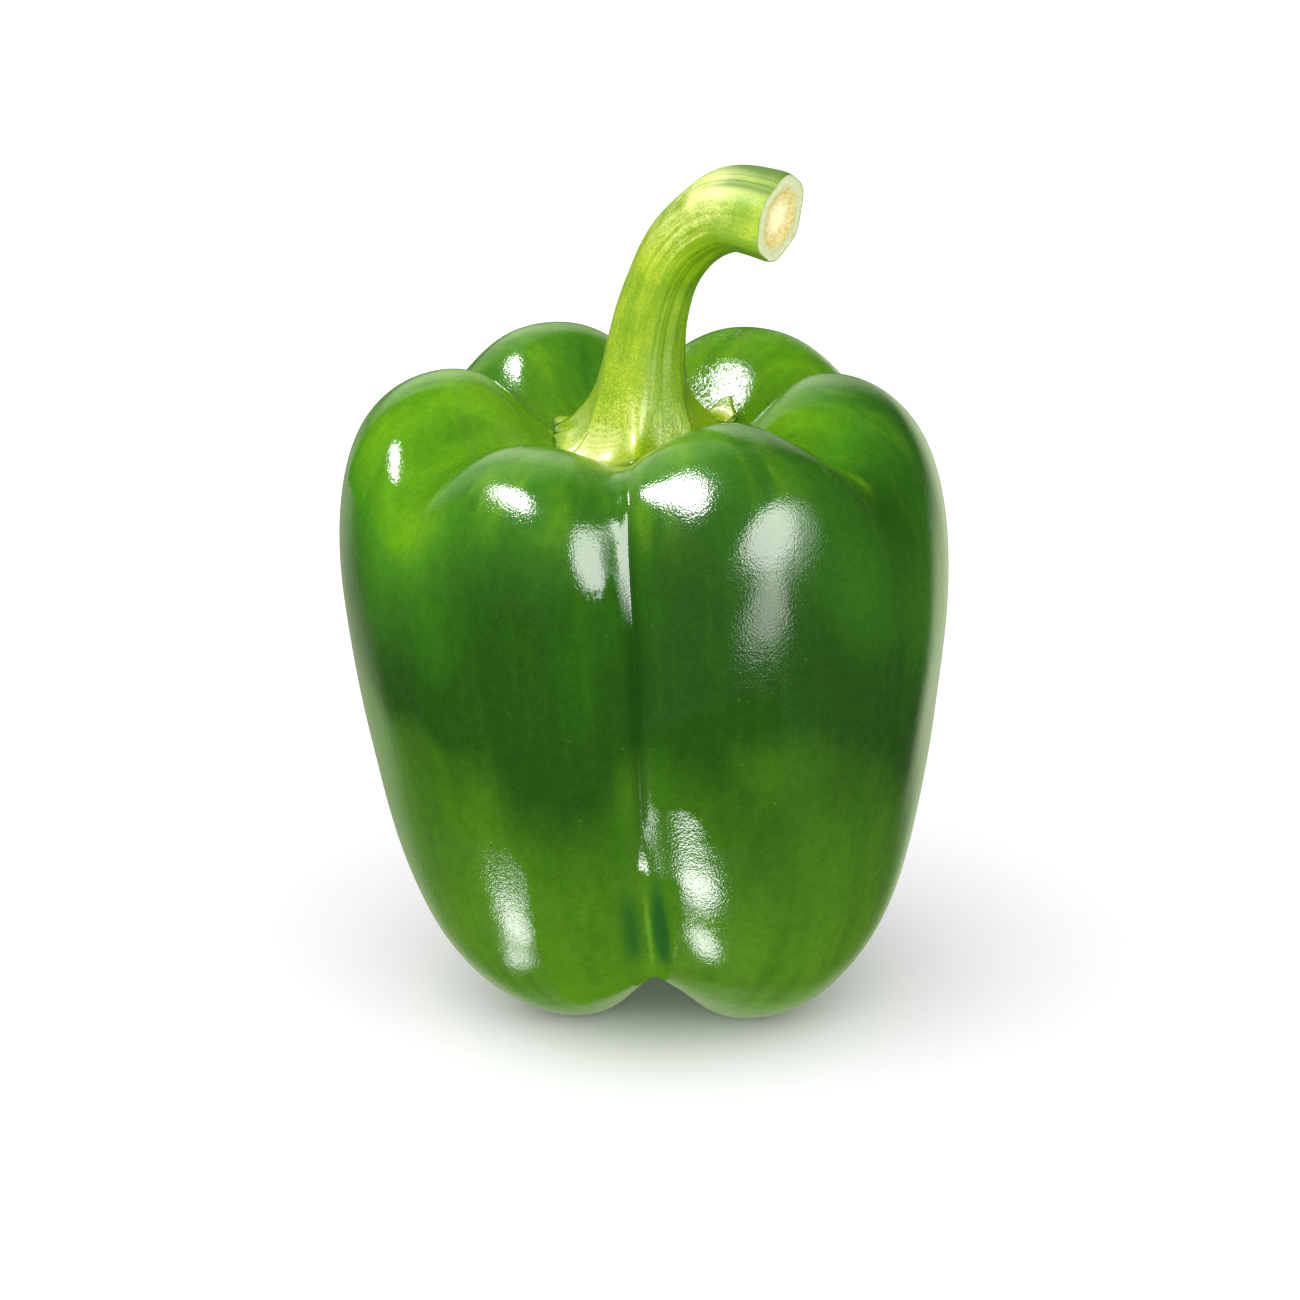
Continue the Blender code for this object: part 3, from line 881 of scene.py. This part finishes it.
def stemRings(angle):
    s = stemShape
    shares = mixed(s["shares"][0], 1.0, np.linspace(0, 1, s["stemRings"]))
    centre, normal, along = stemFrame(shares)
    sideways = np.cross(along, normal)
    radii = curved(shares, s["shares"], s["radii"])
    fibres = sum(noiseRound(angle, reach, level) * part for reach, level, part in s["fibreNoise"])
    sides = np.arange(len(angle))
    coarse = sides[::6]
    rings = []
    for i, share in enumerate(shares):
        grain = fibres * s["fibreHeight"] * eased(share, s["fibreWay"], s["fibreShare"])
        lumps = noiseRound(angle[coarse], s["lumpReach"], share * s["lumpsAlong"])
        lumps = np.interp(sides, coarse, lumps, period=len(sides)) * s["lumpHeight"]
        radius = radii[i] * ridged(angle) + grain + lumps
        outward = normal[i] * np.cos(angle)[:, None] + sideways[i] * np.sin(angle)[:, None]
        rings.append(centre[i] + outward * radius[:, None])
    return rings, centre[-1], along[-1]


def cutRings(rim, centre, along):
    # the cut end, a little hollow towards its pith, with a rough woody ring
    s = stemShape
    rings = []
    for i in range(1, s["cutRings"]):
        inward = i / s["cutRings"]
        hollow = eased(inward, s["hollowWay"], s["hollowShare"])
        ring = mixed(rim, centre, inward)
        rough = np.array([noise.noise(Vector(p) * s["cutGrain"]) for p in ring])
        rough = rough * s["cutGrainHeight"] * min(1, inward * 8)  # none on the rim itself
        depth = hollow * s["cutHollow"] + rough
        rings.append(ring - along * depth[:, None])
    rings.append(np.repeat((centre - along * s["cutHollow"])[None], len(rim), 0))
    return rings


def smoothJoin(rings, middle):
    # the flare runs into the stem without a crease
    s = stemShape
    for _ in range(s["joinPasses"]):
        for i in range(middle - s["joinBelow"], middle + s["joinAbove"]):
            rings[i] = 0.25 * rings[i - 1] + 0.5 * rings[i] + 0.25 * rings[i + 1]


def markStem(mesh, table, ring, around, calyxCount):
    # what the material reads at each point: its way along the stem from the calyx's rim to the
    # cut, its way over the cut to the pith, how much it faces the painted light, and how much it
    # faces back
    s = stemShape
    stemWay = np.concatenate([
        np.zeros(s["undersideRings"] + 1),
        np.linspace(0.0, 0.25, s["trumpetRings"]),
        np.linspace(0.25, 1.0, s["stemRings"]),
        np.ones(s["cutRings"]),
    ])
    cutWay = np.concatenate([
        np.zeros(calyxCount + s["stemRings"] - 1),
        np.linspace(0.001, 1.0, s["cutRings"] + 1),
    ])
    steps = np.linalg.norm(np.diff(table.mean(1), axis=0), axis=1)
    length = np.concatenate([[0], np.cumsum(steps)])
    normals = np.empty(len(mesh.vertices) * 3)
    mesh.vertices.foreach_get("normal", normals)
    normals = normals.reshape(-1, 3)
    paintedLightFrom = np.array(stemLooks["paintedLightFrom"]) / np.linalg.norm(stemLooks["paintedLightFrom"])
    radius = stemLooks["patternRadius"]
    addValue(mesh, "stemWay", stemWay[ring])
    addValue(mesh, "cutWay", cutWay[ring])
    # how much each point faces the direction the painted light comes from
    addValue(mesh, "sunSide", normals @ paintedLightFrom)
    addValue(mesh, "backSide", normals @ np.array(stemLooks["backward"]))
    addValue(mesh, "alongStem", np.stack([
        radius * np.cos(around), radius * np.sin(around), length[ring],
    ], axis=1))


def makeStem(skinPiece, shift, material):
    s = stemShape
    skin = BVHTree.FromObject(skinPiece, bpy.context.evaluated_depsgraph_get())
    angle = math.tau * np.arange(s["sides"]) / s["sides"]
    stalk, centre, along = stemRings(angle)
    calyx = calyxRings(skin, shift, angle, stalk[0])
    rings = calyx + stalk + cutRings(stalk[-1], centre, along)
    smoothJoin(rings, len(calyx))
    mesh, side, ring = ballMesh("pepperStem", s["sides"], len(rings) - 1)
    table = np.array(rings)
    placePoints(mesh, table[ring, side] + np.array([shift[0], shift[1], 0]))
    markStem(mesh, table, ring, angle[side], len(calyx))
    stem = addPiece("pepperStem", mesh, material)
    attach(stem, "root")
    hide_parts("stem_and_calyx")
    print("stem and calyx", len(mesh.polygons), "faces")


stemLooks = {
    "paintedLightFrom": (-0.36, -0.60, 0.71),  # the side painted paler, as if the light fell on it
    "backward": (0.40, 0.45, 0.80),  # and the side that is darkest by the cut
    "mid": (0.190, 0.360, 0.003),
    "pale": (0.540, 0.630, 0.020),
    # the cream of the painted highlights
    "paintedHighlightCream": (0.860, 0.870, 0.340),
    "deep": (0.065, 0.180, 0.003),
    "foot": (0.240, 0.440, 0.003),
    "calyxEdge": (0.120, 0.270, 0.008),
    "cutRim": (0.420, 0.500, 0.160),
    "cutRing": (0.560, 0.620, 0.360),
    "cutWood": (0.480, 0.380, 0.045),
    "cutFlesh": (0.700, 0.600, 0.220),
    "cutSap": (0.400, 0.470, 0.200),
    "cutPith": (0.920, 0.860, 0.480),
    "cutTint": (0.72, 0.70, 0.60),
    # how fine the patterns are: a greater number is finer
    "cloudScale": 240.0,
    "broadScale": 520.0,
    "grainScale": 1500.0,
    "fleckScale": 2100.0,
    "fibreScale": 2600.0,
    "speckleScale": 3200.0,
    # how strongly each tint shows
    "deepShare": 0.85,
    "paintedCrownShare": 0.65,
    "footShare": 0.50,
    "paintedShineShare": 0.80,
    "paintedGlintShare": 0.70,
    "edgeShare": 0.70,
    "fleckShare": 0.25,
    "collarShare": 0.90,
    "sapShare": 0.35,
    "woodShare": 0.80,
    "tintShare": 0.35,
    # ways along where a tint starts, is full, stays full and ends
    "paintedCrownWay": (0.52, 0.72, 0.84, 0.96),
    "woodWay": (0.18, 0.32, 0.50, 0.86),
    "patternRadius": 0.005,
    "reliefDepth": 0.00009,
    "roughness": 0.36,
    "ior": 1.42,
}


def stemColour(wire, way, along, spot, fibre, speckle):
    looks = stemLooks
    paintedLight = wire.value("sunSide")
    broad = wire.noise(along.stretched((1, 1, 0.22)), looks["broadScale"], 3.0, 0.55, 0.6) - 0.5
    cloudy = wire.noise(spot, looks["cloudScale"], 3.0) - 0.5
    # painted light and painted shade: paler on the side facing the light, deeper away from it,
    # with a tone that also differs at random
    tone = paintedLight * 0.42 + broad * 0.5 + cloudy * 0.6 + fibre * 0.32 + speckle * 0.7
    colour = wire.blended(tone.within(0.09, 0.80), looks["mid"], looks["pale"])
    deep = tone.within(0.10, -0.35)
    colour = wire.blended(deep * looks["deepShare"], colour, looks["deep"])
    # a painted highlight in cream on the lit top of the bend
    paintedCrownHighlight = (paintedLight + broad * 0.4 + cloudy + fibre * 0.2 + speckle * 0.6).within(0.55, 1.1)
    paintedCrownHighlight = paintedCrownHighlight * way.between(*looks["paintedCrownWay"])
    colour = wire.blended(paintedCrownHighlight * looks["paintedCrownShare"], colour, looks["paintedHighlightCream"])
    # the flare's own colour, with a painted highlight and grainy painted glints on it
    flare = way.within(0.30, 0.12)
    colour = wire.blended(flare * looks["footShare"], colour, looks["foot"])
    paintedShine = (paintedLight + speckle * 0.30 + fibre * 0.1).within(0.83, 0.97) * way.within(0.33, 0.25)
    paintedShine = paintedShine * way.within(0.03, 0.08)
    colour = wire.blended(paintedShine * looks["paintedShineShare"], colour, looks["paintedHighlightCream"])
    paintedGlint = (speckle + paintedLight * 0.12).within(0.06, 0.20) * way.within(0.42, 0.12)
    colour = wire.blended(paintedGlint * looks["paintedGlintShare"], colour, looks["pale"])
    edge = way.within(0.05, 0.0)
    colour = wire.blended(edge * looks["edgeShare"], colour, looks["calyxEdge"])
    # short dark flecks, and a dark collar by the cut
    flecks = wire.noise(along.stretched((1, 1, 0.35)), looks["fleckScale"], 2.0, 0.7)
    flecks = flecks.within(0.60, 0.74)
    colour = wire.blended(flecks * looks["fleckShare"], colour, looks["deep"])
    back = wire.value("backSide") + cloudy * 0.6 + speckle * 0.3
    collar = way.within(0.78, 0.91) * back.within(0.12, 0.62)
    return wire.blended(collar * looks["collarShare"], colour, looks["deep"])


def cutColour(wire, cutWay, grain, speckle):
    # from the rim over the woody ring to the pith
    looks = stemLooks
    stops = (
        (0.00, looks["cutRim"]), (0.06, looks["cutRing"]), (0.22, looks["cutRing"]),
        (0.38, looks["cutFlesh"]), (0.72, looks["cutPith"]),
    )
    place = cutWay + (grain - 0.5) * 0.22
    face = wire.make("ShaderNodeValToRGB", {"stops": stops}, {"Fac": place})
    sap = grain.within(0.55, 0.40)
    face = wire.blended(sap * looks["sapShare"], face, looks["cutSap"])
    woody = cutWay.between(*looks["woodWay"]) * grain.within(0.46, 0.58)
    face = wire.blended(woody * looks["woodShare"], face, looks["cutWood"])
    tinted = speckle.within(0.0, 0.25)
    return wire.blended(tinted * looks["tintShare"], face, looks["cutTint"], "MULTIPLY")


def fibrousStem():
    material, wire, shader = newMaterial("fibrousGreenStem")
    looks = stemLooks
    way = wire.value("stemWay")
    cutWay = wire.value("cutWay")
    along = wire.place("alongStem")
    spot = wire.make("ShaderNodeTexCoord", output="Object")
    fibre = wire.noise(along.stretched((1, 1, 0.10)), looks["fibreScale"], 3.0, 0.65) - 0.5
    speckle = wire.noise(spot, looks["speckleScale"], 2.0, 0.7) - 0.5
    grain = wire.noise(spot, looks["grainScale"], 3.0, 0.7)
    onCut = cutWay.within(0.0005, 0.03)
    green = stemColour(wire, way, along, spot, fibre, speckle)
    colour = wire.blended(onCut, green, cutColour(wire, cutWay, grain, speckle))
    relief = wire.make("ShaderNodeBump", inputs={
        "Height": fibre * 0.4 + grain * 0.4 + speckle * 0.6,
        "Strength": 1.0,
        "Distance": looks["reliefDepth"],
    })
    # duller on the cut and just before it, and glossier on the flare
    dull = looks["roughness"] + onCut * 0.4 + way.within(0.76, 0.88) * 0.25
    dull = dull - way.within(0.30, 0.12) * 0.12
    finishMaterial(wire, shader, {"IOR": looks["ior"]}, {
        "Base Color": colour, "Roughness": dull, "Normal": relief,
    })
    return material


studio = {
    "target": (-0.0005, 0.0009, 0.045),
    "distance": 1.007,
    "elevation": 20.5,
    "lens": 192.4,
    "shift": (0.0073, 0.0403),
    "floorSize": 3.0,
    "floorColour": (0.935, 0.920, 0.940),
    "skyLight": 1.19,
    "skyTilt": (-0.31, -1.07, 0.21),  # more light from the left, the front and above
    "dimGloss": 0.05,
    "glowColour": (0.86, 1.0, 0.66),
    # wide soft glows behind, seen as reflections only: azimuth, elevation, edges, brightness
    "backGlows": (
        (158.0, -13.0, 21.0, 5.0, 1.05),
        (-153.0, -20.0, 24.0, 8.0, 0.55),
        (-155.0, 35.0, 38.0, 12.0, 1.2),
        (180.0, 18.0, 28.0, 8.0, 0.8),
        (178.0, -44.0, 24.0, 8.0, 0.5),
    ),
    # softboxes that the skin mirrors: azimuth, elevation, half angles, brightness
    "softboxes": {
        "keySoftbox": (-80.0, 58.0, 14.0, 8.0, 70.0),
        "keyHalo": (-80.0, 58.0, 18.0, 12.0, 4.0),
        "rightSoftbox": (37.0, 28.0, 19.0, 19.0, 13.5),
        "rightHalo": (42.0, 25.0, 26.0, 23.0, 4.5),
        "rightLower": (34.0, -5.0, 10.0, 14.0, 8.0),
        "lowLeft": (-81.0, -49.5, 7.0, 6.0, 17.0),
        "lowLeftTail": (-101.0, -58.0, 5.0, 5.0, 10.0),
        "lowRight": (-15.0, -51.0, 11.5, 6.0, 30.0),
        "lowRightTail": (-32.0, -71.0, 8.0, 7.5, 17.0),
        "lowStrip": (-57.0, -41.5, 4.5, 4.0, 16.0),
    },
}


def aimed(thing, place, target):
    thing.location = place
    thing.rotation_euler = (Vector(target) - Vector(place)).to_track_quat("-Z", "Y").to_euler()


def heading(azimuth, elevation):
    # a direction from the pepper, its azimuth counted from the viewer's side
    azimuth, elevation = math.radians(azimuth), math.radians(elevation)
    flat = math.cos(elevation)
    return Vector((flat * math.sin(azimuth), -flat * math.cos(azimuth), math.sin(elevation)))


def addCamera():
    camera = bpy.data.objects.new("camera", bpy.data.cameras.new("camera"))
    camera.data.lens = studio["lens"]
    camera.data.shift_x, camera.data.shift_y = studio["shift"]
    camera.data.clip_start = 0.01
    bpy.context.scene.collection.objects.link(camera)
    target = Vector(studio["target"])
    aimed(camera, target + heading(0, studio["elevation"]) * studio["distance"], target)
    bpy.context.scene.camera = camera


def addSoftboxes():
    # they only make the highlights, and the even light of the room does the rest
    target = Vector(studio["target"])
    for name, (azimuth, elevation, across, upright, bright) in studio["softboxes"].items():
        width, height = (2 * math.tan(math.radians(half)) for half in (across, upright))
        light = bpy.data.lights.new(name, "AREA")
        light.shape = "ELLIPSE"
        light.size = width
        light.size_y = height
        area = math.pi / 4 * width * height
        light.energy = bright * math.pi * area  # the watts that make it this bright
        lamp = bpy.data.objects.new(name, light)
        bpy.context.scene.collection.objects.link(lamp)
        lamp.visible_camera = False
        lamp.visible_diffuse = False
        aimed(lamp, target + heading(azimuth, elevation), target)


def addFloor():
    mesh = bpy.data.meshes.new("paleFloor")
    sheet = bmesh.new()
    bmesh.ops.create_grid(sheet, x_segments=1, y_segments=1, size=studio["floorSize"])
    sheet.to_mesh(mesh)
    sheet.free()
    material, _, shader = newMaterial("palePaper")
    finishMaterial(None, shader, {
        "Base Color": (*studio["floorColour"], 1),
        "Roughness": 0.9,
        "Specular IOR Level": 0.0,
    }, {})
    floor = addPiece("paleFloor", mesh, material)
    floor.visible_glossy = False
    floor.visible_shadow = False


def addRoom():
    world = bpy.data.worlds.new("whiteRoom")
    world.use_nodes = True
    world.cycles.sampling_method = "NONE"
    bpy.context.scene.world = world
    world.node_tree.nodes.clear()
    wire = Wire(world.node_tree)
    seen = wire.make("ShaderNodeLightPath", output="Is Camera Ray")
    glossy = wire.make("ShaderNodeLightPath", output="Is Glossy Ray")
    ray = wire.make("ShaderNodeTexCoord", output="Generated")

    def facing(direction):
        return ray.make(
            "ShaderNodeVectorMath", {"operation": "DOT_PRODUCT"},
            {0: ray, 1: tuple(direction)}, output="Value",
        )

    # even light for the surfaces, a dim room with soft glows in their gloss, and white behind
    light = facing(studio["skyTilt"]) + studio["skyLight"]
    gloss = studio["dimGloss"]
    for azimuth, elevation, outer, inner, bright in studio["backGlows"]:
        edges = (math.cos(math.radians(outer)), math.cos(math.radians(inner)))
        gloss = facing(heading(azimuth, elevation)).within(*edges) * bright + gloss
    level = light + glossy * (gloss - light)
    level = level + seen * (1 - level)
    colour = wire.blended(glossy, (1, 1, 1), studio["glowColour"])
    sky = wire.make(
        "ShaderNodeBackground", inputs={"Color": colour, "Strength": level}, output="Background"
    )
    wire.make("ShaderNodeOutputWorld", inputs={"Surface": sky}, output=None)


bpy.context.scene.view_settings.view_transform = "Standard"
addCamera()
addSoftboxes()
addFloor()
addRoom()
print("studio ready")
fruit, shift = makeFruit(waxySkin())
makeStem(fruit, shift, fibrousStem())
